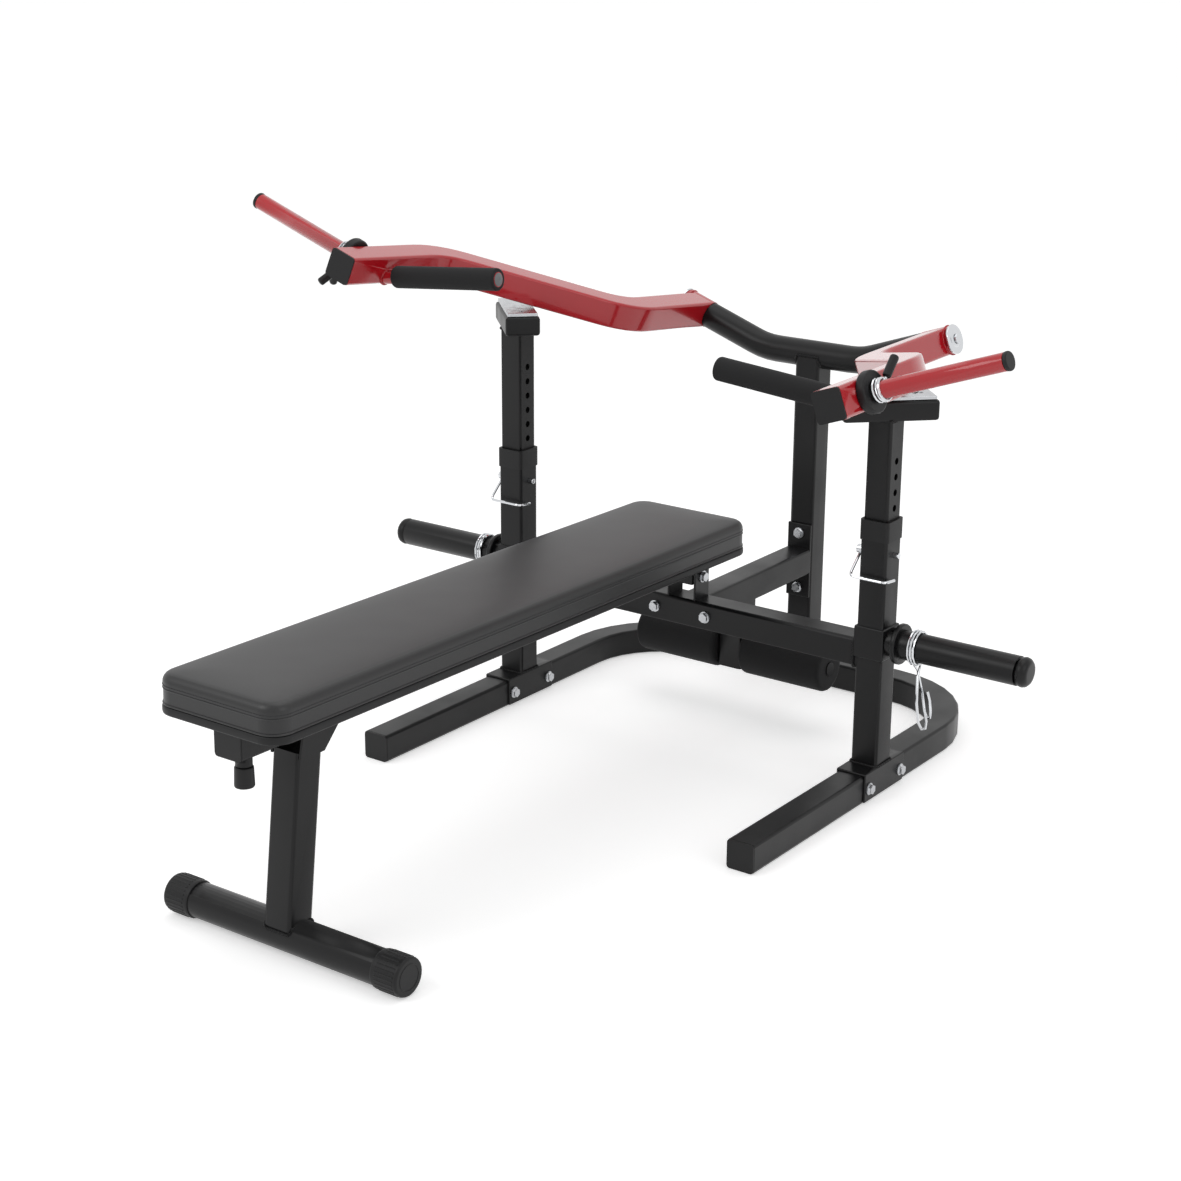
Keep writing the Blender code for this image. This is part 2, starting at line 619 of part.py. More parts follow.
def spring_clip(name, parent, radius, legs, grip_length=0.0):
    """Three turns of wire round the local X axis, ending in the two given leg paths."""
    turns, per_turn, pitch = 3, 14, 2.3 * clip_wire
    coil_radius = (radius + SLIDE_GAP + clip_wire) / cos(pi / per_turn)
    count = per_turn * turns
    first, second = legs
    coil = []
    for k in range(count + 1):
        angle = 2 * pi * turns * k / count - pi / 2
        along = pitch * turns * (k / count - 0.5)
        coil.append(Vector((along, coil_radius * cos(angle), coil_radius * sin(angle))))
    start = [coil[0] + Vector(p) for p in reversed(first)]
    end = [coil[-1] + Vector(p) for p in second]
    wire(name, start + coil + end, clip_wire, 1, chrome, parent)
    if grip_length:
        for place, tip, before in (("first", start[0], start[1]), ("second", end[-1], end[-2])):
            out = (tip - before).normalized()
            rod(f"{name}_grip_{place}", tip + out * GAP, tip + out * grip_length, 7 * MM, black_plastic,
                parent, sides=12, rounding=3 * MM)


storage_z = SOCKET_Z + 2 * MM
for side, sign in SIDES:
    axis = pivot(f"storage_peg_{side}_axis", (sign * (POST_X + socket_half + GAP), 0, storage_z),
                 Matrix.Rotation(0 if sign > 0 else pi, 3, "Z"))
    disc_at = 14 * MM
    shoulder = STORAGE_PEG_REACH - socket_half - peg_radius + 3 * MM
    peg = rod(f"storage_peg_{side}", (0, 0, 0), (shoulder, 0, 0), peg_radius, frame_black, axis, sides=24)
    disc = rod(f"storage_disc_{side}", (disc_at, 0, 0), (disc_at + 9 * MM, 0, 0), STORAGE_DISC_DIAMETER / 2,
               parent=axis, sides=26, rounding=2.5 * MM)
    dome = rod(f"storage_dome_{side}", (shoulder - 2 * MM, 0, 0), (shoulder + peg_radius - 4 * MM, 0, 0),
               peg_radius + 0.4 * MM, parent=axis, sides=24)
    add_bevel(dome, 17 * MM, 3)
    join(peg, disc, dome)

    clip_axis = pivot(f"storage_clip_{side}_axis", (disc_at + 9 * MM + 26 * MM, 0, 0), parent=axis)
    hook = [(3, 14, -16), (8, 26, -60), (13, 28, -92), (20, 24, -101), (28, 20, -98), (30, 17, -86),
            (26, 20, -68), (20, 22, -54)]
    other = [(3, -14, -16), (10, -26, -58), (17, -30, -90), (25, -32, -99), (33, -34, -95), (34, -34, -82),
             (28, -32, -62)]
    spring_clip(f"storage_clip_{side}", clip_axis, peg_radius,
                ([Vector(p) * MM for p in hook], [Vector(p) * MM for p in other]))

# ---- Telescoping rests, their plates and pins --------------------------------------------
plate_top = PIN_Z + REST_RISE + REST_BEAM.z + GAP + REST_PLATE.z


def hole_row(name, parent):
    """One cutter for all the holes of a rest's inner tube."""
    bm = bmesh.new()
    across = Matrix.Rotation(pi / 2, 4, "Y")
    for k in range(-HOLES_BELOW_PIN, HOLES_ABOVE_PIN + 1):
        bmesh.ops.create_cone(bm, cap_ends=True, segments=10, radius1=HOLE_DIAMETER / 2,
                              radius2=HOLE_DIAMETER / 2,
                              depth=2 * TUBE, matrix=Matrix.Translation((0, 0, k * HOLE_PITCH)) @ across)
    return finish(name, to_mesh(name, bm), None, parent)


for side, sign in SIDES:
    notch_rise = LEFT_NOTCHES_UP * HOLE_PITCH if sign < 0 else 0.0
    rest = pivot(f"rest_post_{side}_slide", (sign * POST_X, 0, PIN_Z + notch_rise))
    foot = -HOLES_BELOW_PIN * HOLE_PITCH - 25 * MM
    inner = hollow_post(f"rest_post_{side}", Vector((0, 0, 0)), foot, REST_RISE + 4 * MM, INNER_TUBE,
                        INNER_TUBE - 2 * WALL, 4 * MM, frame_black, rest)
    turn = Matrix.Rotation(sign * REST_TURN, 3, "Z")
    beam_middle = Vector((0, 0, REST_RISE + REST_BEAM.z / 2))
    join(inner, block(f"rest_beam_{side}", -REST_BEAM / 2, REST_BEAM / 2, parent=rest, rounding=TUBE_CORNER,
                      turn=turn, at=beam_middle))
    cut(inner, hole_row(f"rest_holes_{side}", rest))
    plate_middle = Vector((0, 0, REST_RISE + REST_BEAM.z + GAP + REST_PLATE.z / 2))
    plate = block(f"rest_plate_{side}", -REST_PLATE / 2, REST_PLATE / 2, zinc, rest, rounding=1 * MM,
                  turn=turn, at=plate_middle)
    for place, along in (("inner", -REST_SCREW_SPREAD / 2), ("outer", REST_SCREW_SPREAD / 2)):
        centre = plate_middle + turn @ Vector((along, 0, 0))
        cut(plate, rod(f"rest_screw_hole_{side}_{place}", centre - UP * 10 * MM, centre + UP * 10 * MM,
                       4.5 * MM, parent=rest, sides=20))

    # Lock pin with its wire retainer
    swing = pivot(f"lock_pin_{side}_swing", (sign * POST_X, 0, PIN_Z))
    pin = rod(f"lock_pin_{side}", (-half - 16 * MM, 0, 0), (half + 11 * MM, 0, 0), PIN_DIAMETER / 2, chrome,
              swing, sides=16, rounding=1.2 * MM)
    head = rod(f"lock_pin_head_{side}", (-half - 17 * MM, 0, 0), (-half - 6 * MM, 0, 0), 7.5 * MM,
               parent=swing,
               sides=16, rounding=1 * MM)
    bar_y, bar_z = -37 * MM, -38 * MM
    wire_x = half + 7 * MM
    loop = [(-wire_x - 4 * MM, 2 * MM, -2 * MM), (-wire_x - 4 * MM, bar_y, bar_z), (wire_x, bar_y, bar_z),
            (wire_x, -7 * MM, bar_z - 3 * MM)]
    retainer = wire(f"pin_wire_{side}", route(loop, 9 * MM, radians(25)), 2.5 * MM, 2, parent=swing)
    join(pin, head, retainer)

# ---- Lever arms --------------------------------------------------------------------------


def arm_matrix(sign, angle):
    """Local X runs out along the axis on the right side and in along it on the left, -Y along the arm."""
    tilt = Matrix.Rotation(-sign * AXIS_TILT, 3, "Y")
    swing = Matrix.Rotation(-angle, 3, "X")
    return Matrix.Translation(on_axis(sign, ARM_ALONG_AXIS)) @ (tilt @ swing).to_4x4()


def height_over_plate(sign, angle, plate_z):
    """Least height of the arm's lower inner edge over the rear long edge of its rest plate."""
    placed = arm_matrix(sign, angle)
    run = Vector((ARM_OUTWARD, ARM_SECOND_RUN)).normalized()
    edge_start = Vector((-run.y * half, ARM_FIRST_RUN + run.x * half))
    edge_points = [edge_start + run * d for d in (0.0, 0.4)]
    a, b = [placed @ Vector((sign * p.x, -p.y, -half)) for p in edge_points]
    turn = Matrix.Rotation(sign * REST_TURN, 3, "Z")
    normal = turn @ Vector((0, 1, 0))
    plate_edge = Vector((sign * POST_X, 0, 0)) + normal * REST_PLATE.y / 2
    share = (plate_edge - a).dot(normal) / (b - a).dot(normal)
    return (a + (b - a) * share).z - plate_z


def resting_angle(sign, plate_z):
    low, high = radians(-15), radians(30)
    for _ in range(50):
        middle = (low + high) / 2
        if height_over_plate(sign, middle, plate_z) < GAP:
            low = middle
        else:
            high = middle
    return high


for side, sign in SIDES:
    notch_rise = LEFT_NOTCHES_UP * HOLE_PITCH if sign < 0 else 0.0
    angle = resting_angle(sign, plate_top + notch_rise)
    arm_axis = pivot(f"press_arm_{side}_axis", (0, 0, 0))
    arm_axis.matrix_local = arm_matrix(sign, angle)
    end = ARM_LENGTH - plug_flange - GAP
    path = route(
        [(0, 0, 0), (0, -ARM_FIRST_RUN, 0), (sign * ARM_OUTWARD, -ARM_FIRST_RUN - ARM_SECOND_RUN, 0),
         (sign * ARM_OUTWARD, -end, 0)],
        ARM_BEND, radians(8),
    )
    arm = square_tube(f"press_arm_{side}", path, TUBE, TUBE_CORNER, arm_red, arm_axis)
    bore_path = [*path[:-1], path[-1] - Vector((0, 10 * MM, 0))]
    cut(arm, square_tube(f"arm_inside_{side}", bore_path, TUBE - 2 * WALL, TUBE_CORNER - WALL,
                         parent=arm_axis))
    hub = rod(f"arm_hub_{side}", (sign * hub_inner, 0, 0), (sign * hub_outer, 0, 0), HUB_RADIUS,
              parent=arm_axis,
              sides=32)
    peg_root = ARM_OUTWARD + half
    peg_end = peg_root + WEIGHT_PEG_LENGTH
    weight_peg = rod(f"weight_peg_{side}", (sign * (peg_root - WALL), -WEIGHT_PEG_ALONG, 0),
                     (sign * peg_end, -WEIGHT_PEG_ALONG, 0), WEIGHT_PEG_DIAMETER / 2, parent=arm_axis)
    inward = Vector((-sign * cos(GRIP_TURN), 0, sin(GRIP_TURN)))
    grip_root = Vector((sign * (ARM_OUTWARD - half), -GRIP_ALONG, -11 * MM))
    grip_bar = rod(f"grip_bar_{side}", grip_root - inward * 2 * MM,
                   grip_root + inward * (GRIP_STUB + GRIP_LENGTH),
                   GRIP_BAR / 2, parent=arm_axis)
    join(arm, hub, weight_peg, grip_bar)
    cut(arm, rod(f"arm_bore_{side}", (-0.1, 0, 0), (0.1, 0, 0), AXLE_DIAMETER / 2 + SLIDE_GAP,
                 parent=arm_axis,
                 sides=32))

    tube_plug(f"arm_plug_{side}", arm_axis, (sign * ARM_OUTWARD, -end - GAP, 0))

    foam_start = grip_root + inward * GRIP_STUB
    foam = rod(f"hand_grip_{side}", foam_start, foam_start + inward * GRIP_LENGTH, GRIP_DIAMETER / 2,
               black_foam, arm_axis, sides=24, rounding=3 * MM)
    cut(foam, rod(f"grip_bore_{side}", grip_root, grip_root + inward * (GRIP_STUB + GRIP_LENGTH + 0.02),
                  GRIP_BAR / 2 + GAP, parent=arm_axis))

    disc_start = peg_root + GAP
    disc_end = disc_start + STOP_DISC.z
    disc = rod(f"stop_disc_{side}", (sign * disc_start, -WEIGHT_PEG_ALONG, 0),
               (sign * disc_end, -WEIGHT_PEG_ALONG, 0),
               STOP_DISC.x / 2, black_plastic, arm_axis, sides=28, rounding=3 * MM)
    cut(disc, rod(f"stop_disc_bore_{side}", (sign * (disc_start - 0.01), -WEIGHT_PEG_ALONG, 0),
                  (sign * (disc_end + 0.01), -WEIGHT_PEG_ALONG, 0), WEIGHT_PEG_DIAMETER / 2 + GAP,
                  parent=arm_axis))
    rod(f"peg_cap_{side}", (sign * (peg_end + GAP), -WEIGHT_PEG_ALONG, 0),
        (sign * (peg_end + 7 * MM), -WEIGHT_PEG_ALONG, 0),
        WEIGHT_PEG_DIAMETER / 2 + 0.6 * MM, black_plastic, arm_axis, rounding=2 * MM)

    # Spring clip on the weight peg, with a plastic grip on each leg
    outward = Matrix.Rotation(0 if sign > 0 else pi, 3, "Z")
    hanging = Matrix.Rotation(ARM_CLIP_TURNS[side], 3, "X")
    clip_axis = pivot(f"arm_clip_{side}_axis", (sign * (disc_end + 10 * MM), -WEIGHT_PEG_ALONG, 0),
                      outward @ hanging, arm_axis)
    legs = []
    for lean in (1, -1):
        legs.append([Vector((1, lean * 4, -6)) * MM, Vector((3, lean * 9, -14)) * MM])
    spring_clip(f"arm_clip_{side}", clip_axis, WEIGHT_PEG_DIAMETER / 2, legs, ARM_CLIP_GRIP)

    # The washer turns with the axle, so it lies on the frame's side of the joint
    bolt_axis = pivot(f"pivot_bolt_{side}_axis", (0, 0, 0))
    bolt_axis.matrix_local = arm_matrix(sign, 0)
    seat = hub_outer + 2 * GAP
    washer = rod(f"pivot_bolt_{side}", (sign * seat, 0, 0), (sign * (seat + 4 * MM), 0, 0), 27 * MM, chrome,
                 bolt_axis, sides=32, rounding=0.8 * MM)
    join(
        washer,
        rod(f"pivot_head_{side}", (sign * (seat + 3 * MM), 0, 0), (sign * (seat + 10 * MM), 0, 0), 9 * MM,
            parent=bolt_axis, sides=6, rounding=0.8 * MM),
        rod(f"pivot_shank_{side}", (sign * (seat + MM), 0, 0), (sign * (seat - 24 * MM), 0, 0), 5 * MM,
            parent=bolt_axis, sides=12),
    )

# ---- Put the middle of the footprint at the origin ---------------------------------------
bpy.context.view_layer.update()
depsgraph = bpy.context.evaluated_depsgraph_get()
places = []
for obj in parts.objects:
    if obj.type == "MESH":
        shape = obj.evaluated_get(depsgraph)
        places += [shape.matrix_world @ vertex.co for vertex in shape.to_mesh().vertices]
        shape.to_mesh_clear()
for axis in (0, 1):
    values = [place[axis] for place in places]
    root.location[axis] = -(min(values) + max(values)) / 2
bpy.context.view_layer.update()
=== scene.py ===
# Looks of a bench press with lever arms: paint, metal, vinyl, foam, welds and stitches round the fixed frame.

import json
from math import ceil, cos, pi, radians, sin, sqrt

import bmesh
import bpy
from mathutils import Matrix, Vector, noise


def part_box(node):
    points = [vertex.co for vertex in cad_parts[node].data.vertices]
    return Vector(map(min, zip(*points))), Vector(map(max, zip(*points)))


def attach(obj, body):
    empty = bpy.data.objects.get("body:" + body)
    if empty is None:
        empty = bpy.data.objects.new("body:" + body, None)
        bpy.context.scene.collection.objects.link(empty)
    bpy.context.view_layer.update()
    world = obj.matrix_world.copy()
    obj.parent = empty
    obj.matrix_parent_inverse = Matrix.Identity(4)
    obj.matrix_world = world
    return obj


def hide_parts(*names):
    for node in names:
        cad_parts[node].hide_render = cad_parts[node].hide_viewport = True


mm = 0.001
up = Vector((0, 0, 1))

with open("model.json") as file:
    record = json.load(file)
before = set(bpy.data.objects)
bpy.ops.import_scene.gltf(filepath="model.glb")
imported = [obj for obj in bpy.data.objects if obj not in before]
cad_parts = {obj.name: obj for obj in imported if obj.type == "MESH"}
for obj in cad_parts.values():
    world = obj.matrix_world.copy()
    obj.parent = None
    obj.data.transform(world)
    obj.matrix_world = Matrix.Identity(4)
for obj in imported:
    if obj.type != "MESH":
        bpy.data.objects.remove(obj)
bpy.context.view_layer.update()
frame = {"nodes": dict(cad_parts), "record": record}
bodyOf = {node: body for body, nodes in frame["record"]["behaviour"]["bodies"].items() for node in nodes}
slotOf = {row["node"]: row["material_slot"] for row in frame["record"]["subparts"]}
jointOf = {joint["name"]: joint for joint in frame["record"]["behaviour"]["joints"]}
sides = (("left", -1), ("right", 1))
print("frame loaded:", len(slotOf), "nodes")


# materials

def linear(hexColour):
    channels = [int(hexColour[k:k + 2], 16) / 255 for k in (1, 3, 5)]
    return (*[c / 12.92 if c <= 0.04045 else ((c + 0.055) / 1.055) ** 2.4 for c in channels], 1)


def addNode(tree, kind, links=(), inputs=None, **settings):
    node = tree.nodes.new(kind)
    for key, value in settings.items():
        setattr(node, key, value)
    for key, value in (inputs or {}).items():
        node.inputs[key].default_value = value
    for source, socket in links:
        tree.links.new(source, node.inputs[socket])
    return node


def material(name, colour, roughness, metallic=0.0, sockets=None):
    made = bpy.data.materials.new(name)
    made.use_nodes = True
    shader = made.node_tree.nodes["Principled BSDF"]
    shader.inputs["Base Color"].default_value = linear(colour)
    shader.inputs["Roughness"].default_value = roughness
    shader.inputs["Metallic"].default_value = metallic
    for key, value in (sockets or {}).items():
        shader.inputs[key].default_value = value
    return made


def addGrain(made, size, height, kind="ShaderNodeTexNoise", strength=1.0, detail=2.0):
    # a fine relief whose cells are `size` across and `height` deep
    tree = made.node_tree
    shader = tree.nodes["Principled BSDF"]
    place = addNode(tree, "ShaderNodeTexCoord")
    settings = {"Scale": 1 / size}
    if kind == "ShaderNodeTexNoise":
        settings["Detail"] = detail
    pattern = addNode(tree, kind, [(place.outputs["Object"], "Vector")], settings)
    output = pattern.outputs["Distance" if kind == "ShaderNodeTexVoronoi" else "Fac"]
    bump = addNode(tree, "ShaderNodeBump", [(output, "Height")], {"Strength": strength, "Distance": height})
    tree.links.new(bump.outputs["Normal"], shader.inputs["Normal"])
    return made


def addWear(made, size, least, most):
    # roughness that drifts a little over the surface, as handled and wiped surfaces do
    tree = made.node_tree
    shader = tree.nodes["Principled BSDF"]
    place = addNode(tree, "ShaderNodeTexCoord")
    cloud = addNode(tree, "ShaderNodeTexNoise", [(place.outputs["Object"], "Vector")],
                    {"Scale": 1 / size, "Detail": 3.0})
    drift = addNode(tree, "ShaderNodeMapRange", [(cloud.outputs["Fac"], "Value")],
                    {"From Min": 0.35, "From Max": 0.65, "To Min": least, "To Max": most})
    tree.links.new(drift.outputs["Result"], shader.inputs["Roughness"])
    return made


# powder coat: sprayed dry and melted, so it has a faint orange peel about 1.5 mm across
blackPowderCoat = material("blackPowderCoat", "#101011", 0.34, 0.0, {"Specular IOR Level": 0.26})
addGrain(blackPowderCoat, 1.6 * mm, 0.05 * mm)
addWear(blackPowderCoat, 90 * mm, 0.3, 0.4)
redPowderCoat = material("redPowderCoat", "#B3141F", 0.2, 0.0,
                         {"Specular IOR Level": 0.3, "Coat Weight": 0.6, "Coat Roughness": 0.05})
addGrain(redPowderCoat, 2.2 * mm, 0.02 * mm)
# zinc plate: bright grey, a little cloudy
zincPlate = addWear(material("zincPlatedSteel", "#B9BBBE", 0.28, 1.0), 12 * mm, 0.22, 0.36)
chromePlate = material("chromePlatedWire", "#D3D5D8", 0.12, 1.0)
# moulded polyethylene with a spark-eroded matt skin, drawn coarser than the real 0.2 mm so that it shows
mouldedPlastic = addGrain(material("mouldedPolyethylene", "#121213", 0.48, 0.0, {"Specular IOR Level": 0.3}), 0.6 * mm, 0.04 * mm)
greyPlastic = addGrain(material("greyMouldedPlug", "#6E7072", 0.5), 0.6 * mm, 0.04 * mm)
# closed-cell nitrile foam: matt, with cells about 0.8 mm across
foamRubber = material("nitrileFoam", "#151516", 0.82, 0.0, {"Specular IOR Level": 0.35})
addGrain(foamRubber, 0.8 * mm, 0.12 * mm, "ShaderNodeTexVoronoi", 0.7)
# embossed vinyl: leather grain about 1.3 mm across over a satin skin
grainedVinyl = addGrain(material("embossedVinyl", "#161617", 0.4), 1.3 * mm, 0.08 * mm, "ShaderNodeTexVoronoi", 0.5)
boundThread = material("polyesterThread", "#2A2A2C", 0.7)

finishes = {
    "frame_black": blackPowderCoat,
    "arm_red": redPowderCoat,
    "zinc": zincPlate,
    "chrome": chromePlate,
    "black_plastic": mouldedPlastic,
    "black_foam": foamRubber,
    "black_vinyl": grainedVinyl,
}
print("materials made:", len(bpy.data.materials))


# ways of making a piece

def addPiece(name, mesh, finish, body, sharpAngle=38):
    made = bpy.data.objects.new(name, mesh)
    bpy.context.scene.collection.objects.link(made)
    mesh.materials.clear()
    mesh.materials.append(finish)
    mesh.shade_smooth()
    mesh.set_sharp_from_angle(angle=radians(sharpAngle))
    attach(made, body)
    return made


def meshFrom(name, bm):
    bmesh.ops.remove_doubles(bm, verts=bm.verts, dist=0.001 * mm)
    bmesh.ops.recalc_face_normals(bm, faces=bm.faces)
    mesh = bpy.data.meshes.new(name)
    bm.to_mesh(mesh)
    bm.free()
    return mesh


def smoothCopy(node, finish=None):
    # the node's own shape, with its flat faces whole and its round ones shaded smooth
    bm = bmesh.new()
    bm.from_mesh(frame["nodes"][node].data)
    bmesh.ops.remove_doubles(bm, verts=bm.verts, dist=0.002 * mm)
    bmesh.ops.dissolve_limit(bm, angle_limit=radians(1.0), verts=bm.verts, edges=bm.edges)
    mesh = bpy.data.meshes.new(f"{node}_skin")
    bm.to_mesh(mesh)
    bm.free()
    slot = slotOf[node]
    made = addPiece(f"{node}_skin", mesh, finish or finishes[slot], bodyOf[node])
    even = made.modifiers.new("evenShading", "WEIGHTED_NORMAL")
    even.keep_sharp = True
    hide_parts(node)
    return made


def turned(name, profile, start, along, finish, body, steps=48):
    # a profile of (distance along, radius) spun round an axis
    along = along.normalized()
    bm = bmesh.new()
    turn = along.to_track_quat("Z", "Y").to_matrix().to_4x4()
    points = [bm.verts.new((radius, 0, reach)) for reach, radius in profile]
    edges = [bm.edges.new(pair) for pair in zip(points, points[1:])]
    bmesh.ops.spin(bm, geom=[*points, *edges], axis=(0, 0, 1), cent=(0, 0, 0), angle=2 * pi, steps=steps,
                   use_merge=True)
    bmesh.ops.transform(bm, matrix=Matrix.Translation(start) @ turn, verts=bm.verts)
    return addPiece(name, meshFrom(name, bm), finish, body)


weld = {"radius": 2.5 * mm, "ripple": 0.2, "pitch": 2.6 * mm}


def beadAlong(name, route, finish, body, closed=True, radius=None, ripple=None, spacing=0.6 * mm):
    # a bead that follows the route, swelling once for each pass of the torch
    ends = route + route[:1] if closed else route
    points = []
    for a, b in zip(ends, ends[1:]):
        count = max(1, ceil((b - a).length / spacing))
        points += [a.lerp(b, k / count) for k in range(count)]
    data = bpy.data.curves.new(name, "CURVE")
    data.dimensions = "3D"
    spline = data.splines.new("POLY")
    spline.points.add(len(points) - 1)
    swell = weld["ripple"] if ripple is None else ripple
    for k, (place, point) in enumerate(zip(spline.points, points)):
        place.co = (*point, 1)
        place.radius = 1 + swell * sin(2 * pi * k * spacing / weld["pitch"])
    spline.use_cyclic_u = closed
    data.bevel_depth = radius or weld["radius"]
    data.bevel_resolution = 2
    data.use_fill_caps = not closed
    helper = bpy.data.objects.new(name, data)
    bpy.context.scene.collection.objects.link(helper)
    shape = bpy.data.meshes.new_from_object(helper.evaluated_get(bpy.context.evaluated_depsgraph_get()))
    bpy.data.objects.remove(helper)
    bm = bmesh.new()
    bm.from_mesh(shape)
    return addPiece(name, meshFrom(name, bm), finish, body)


def squareRoute(halfWidth, halfDepth, corner, turns=6):
    # a rounded rectangle round the origin, anticlockwise
    points = []
    for quarter, (x, y) in enumerate(((1, 1), (-1, 1), (-1, -1), (1, -1))):
        for k in range(turns + 1):
            angle = (quarter + k / turns) * pi / 2
            points.append(Vector((x * (halfWidth - corner) + corner * cos(angle),
                                  y * (halfDepth - corner) + corner * sin(angle), 0)))
    return points


def ringRoute(centre, axis, radius, count=40):
    turn = axis.to_track_quat("Z", "Y")
    return [centre + turn @ Vector((radius * cos(2 * pi * k / count), radius * sin(2 * pi * k / count), 0))
            for k in range(count)]


def middle(node):
    a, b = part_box(node)
    return (Vector(a) + Vector(b)) / 2


def corners(node):
    a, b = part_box(node)
    return Vector(a), Vector(b)


# every frame piece keeps its own shape, with smooth round faces

ownShape = ["pad_cushion"]
for node in slotOf:
    if node not in ownShape:
        smoothCopy(node)
print("smooth skins made:", len(slotOf) - len(ownShape))

tube = corners("rear_post")[1].x - corners("rear_post")[0].x
half = tube / 2
centreX = middle("rear_post").x

# welds

saddleTop = corners("base_frame")[1].z + 3.3 * mm
for side, sign in sides:
    foot = middle(f"upright_{side}")
    route = [foot.xy.to_3d() + p + up * saddleTop for p in squareRoute(half + mm, half + mm, 6 * mm)]
    beadAlong(f"saddle_weld_{side}", route, blackPowderCoat, "frame")

    beam = middle("crossbeam")
    inner = Vector((foot.x - sign * (half + 3.5 * mm), beam.y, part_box("upright_left")[0][2] + 247.5 * mm))
    route = [inner + Matrix.Rotation(pi / 2, 3, "Y") @ p for p in squareRoute(half + mm, half + mm, 6 * mm)]
    beadAlong(f"socket_weld_{side}", route, blackPowderCoat, "frame")

    beamLow = corners(f"rest_plate_{side}")[0].z - 34.3 * mm
    route = [foot.xy.to_3d() + p + up * beamLow for p in squareRoute(22.6 * mm, 22.6 * mm, 4.5 * mm)]
    beadAlong(f"rest_weld_{side}", route, blackPowderCoat, f"rest_{side}")

postMiddle = middle("rear_post")
yokeZ = corners("yoke")[0].z + half
route = []
for p in squareRoute(half + 0.6 * mm, half + 0.6 * mm, 6 * mm, 10):
    drop = sqrt(max(0.0, half ** 2 - p.y ** 2))
    route.append(Vector((postMiddle.x + p.x, postMiddle.y + p.y, yokeZ - drop)))
beadAlong("yoke_weld", route, blackPowderCoat, "frame")

footMiddle = middle("foot_cap_left")
footRadius = 27.5 * mm
route = []
for p in squareRoute(half + 0.8 * mm, half + 0.8 * mm, 6 * mm, 10):
    rise = sqrt(max(0.0, (footRadius + mm) ** 2 - p.y ** 2))
    route.append(Vector((centreX + p.x, footMiddle.y + p.y + 1 * mm, footMiddle.z + rise)))
beadAlong("leg_weld", route, blackPowderCoat, "frame")
print("frame welds laid")

# lever arms

armLooks = {"pegWeld": 14.6 * mm, "gripWeld": 13.1 * mm, "hubWeld": 26.2 * mm, "plugRadius": 11 * mm}
for side, sign in sides:
    body = f"press_arm_{side}"
    pivot = Vector(jointOf[f"press_arm_{side}_pivot"]["pos_m"])
    outward = Vector(jointOf[f"press_arm_{side}_pivot"]["axis"]) * -sign
    reach = middle(f"arm_plug_{side}") - pivot
    forward = (reach - outward * reach.dot(outward)).normalized()
    peg = middle(f"stop_disc_{side}")
    beadAlong(f"peg_weld_{side}", ringRoute(peg + outward * 8.2 * mm, outward, armLooks["pegWeld"]),
              mouldedPlastic, body, ripple=0.0, radius=1.2 * mm)

    # weld at the root of the hand grip's bar, and the plug in its open end
    grip = frame["nodes"][f"hand_grip_{side}"].data.vertices
    gripMiddle = sum((v.co for v in grip), Vector()) / len(grip)
    localUp = forward.cross(outward).normalized()
    localUp = localUp if localUp.z > 0 else -localUp
    gripAlong = (outward * -cos(radians(24.3)) + localUp * sin(radians(24.3))).normalized()
    root = gripMiddle - gripAlong * (107 + 22) * mm
    face = [root + gripAlong * 0.5 * mm + q for q in ringRoute(Vector(), outward, armLooks["gripWeld"])]
    beadAlong(f"grip_weld_{side}", face, redPowderCoat, body)
    tip = gripMiddle + gripAlong * 107 * mm
    turned(f"grip_end_{side}", [(-2 * mm, 0), (-2 * mm, 11 * mm), (0.8 * mm, 11 * mm), (1.4 * mm, 10.2 * mm),
                                (1.4 * mm, 3 * mm), (0.9 * mm, 2.4 * mm), (0.9 * mm, 0)],
           tip, gripAlong, greyPlastic, body)

    # weld where the arm's tube meets its hub
    hub = ringRoute(pivot + outward * (half + 0.6 * mm), outward, armLooks["hubWeld"])
    beadAlong(f"hub_weld_{side}", hub, redPowderCoat, body, radius=1.4 * mm)
print("arm details made")

# rest plates' countersunk screws

screw = {"spread": 110 * mm, "radius": 4.3 * mm, "socket": 2.3 * mm}
for side, sign in sides:
    plateLow, plateHigh = corners(f"rest_plate_{side}")
    centre = middle(f"rest_plate_{side}")
    diagonal = Vector((cos(sign * radians(45)), sin(sign * radians(45)), 0))
    for place, along in (("inner", -0.5), ("outer", 0.5)):
        spot = (centre + diagonal * along * screw["spread"]).xy.to_3d() + up * (plateHigh.z - 0.4 * mm)
        turned(f"rest_screw_{side}_{place}",
               [(-4 * mm, 0), (-4 * mm, 2.5 * mm), (0, screw["radius"]), (0, screw["socket"]),
                (-2.4 * mm, screw["socket"] - 0.2 * mm), (-2.4 * mm, 0)],
               spot, up, zincPlate, f"rest_{side}", 24)

# ribs along the foot caps, and the ring on each cap's face

